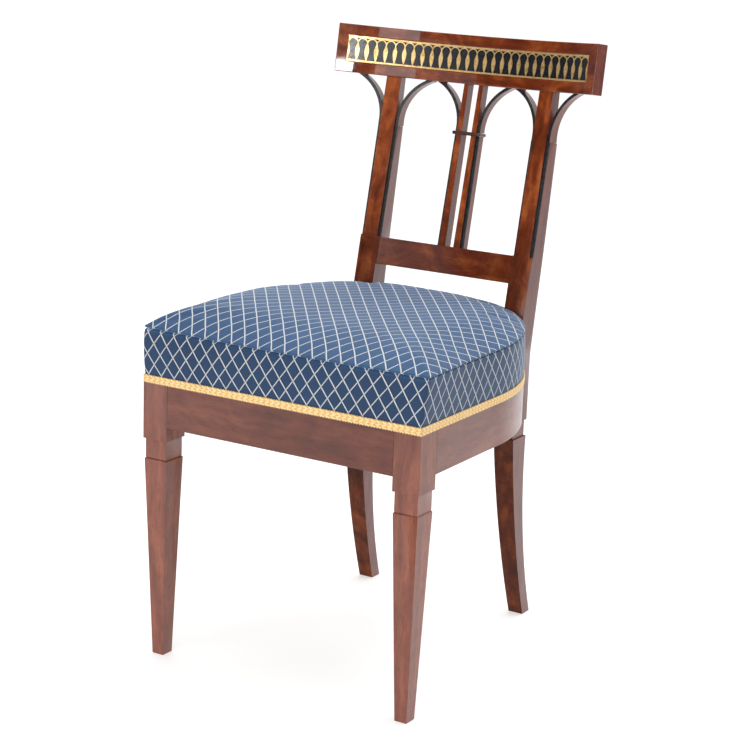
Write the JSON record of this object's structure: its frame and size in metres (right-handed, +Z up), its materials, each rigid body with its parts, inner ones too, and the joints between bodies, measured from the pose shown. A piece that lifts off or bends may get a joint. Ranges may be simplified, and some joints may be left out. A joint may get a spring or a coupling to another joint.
{
  "type": "upholstered dining chair",
  "caption": "Wooden side chair with a hollow tablet crest, gilt arcade inlay, pointed arch ribs, sabre back legs, tapered front legs and a boxed, stuffed seat edged with braid.",
  "frame": {"origin": "on the floor, at the middle of the bounding box in X and Y", "axes": "+Z up, +Y from the front of the seat to the back, +X to the sitter's left"},
  "size_m": [0.453, 0.5386, 0.8804],
  "materials": {
    "mahogany": "French-polished figured mahogany, glossy",
    "ebonised": "ebonised, satin",
    "gilt": "pale gilt inlay",
    "glue_block": "unpolished pale softwood",
    "steel": "plain steel screws",
    "jute": "natural jute",
    "stuffing": "hair and wadding",
    "cover_fabric": "blue twill with a fine gold diamond lattice",
    "braid": "gold gimp braid"
  },
  "bodies": {
    "root": {"back_leg_left": "mahogany", "back_leg_right": "mahogany", "colonnette_arch_rib_left": "mahogany", "colonnette_arch_rib_right": "mahogany", "colonnette_collar": "mahogany", "colonnette_ebony_line_left": "ebonised", "colonnette_ebony_line_right": "ebonised", "colonnette_left": "mahogany", "colonnette_right": "mahogany", "corner_block_screws": "steel", "crest_panel_ground": "ebonised", "crest_rail": "mahogany", "cross_rail": "mahogany", "front_corner_block_left": "glue_block", "front_corner_block_right": "glue_block", "front_leg_left": "mahogany", "front_leg_right": "mahogany", "front_seat_rail": "mahogany", "gilt_arcade": "gilt", "hessian_base": "jute", "inner_arch_rib_left": "mahogany", "inner_arch_rib_right": "mahogany", "inner_ebony_line_left": "ebonised", "inner_ebony_line_right": "ebonised", "outer_arch_rib_left": "mahogany", "outer_arch_rib_right": "mahogany", "outer_ebony_line_left": "ebonised", "outer_ebony_line_right": "ebonised", "rear_corner_block_left": "glue_block", "rear_corner_block_right": "glue_block", "rear_seat_rail": "mahogany", "seat_braid": "braid", "seat_braid_back": "braid", "seat_cover_back_boxing": "cover_fabric", "seat_cover_boxing": "cover_fabric", "seat_cover_top": "cover_fabric", "seat_stuffing": "stuffing", "side_seat_rail_left": "mahogany", "side_seat_rail_right": "mahogany", "webbing_crossways": "jute", "webbing_lengthways": "jute"}
  },
  "joints": []
}
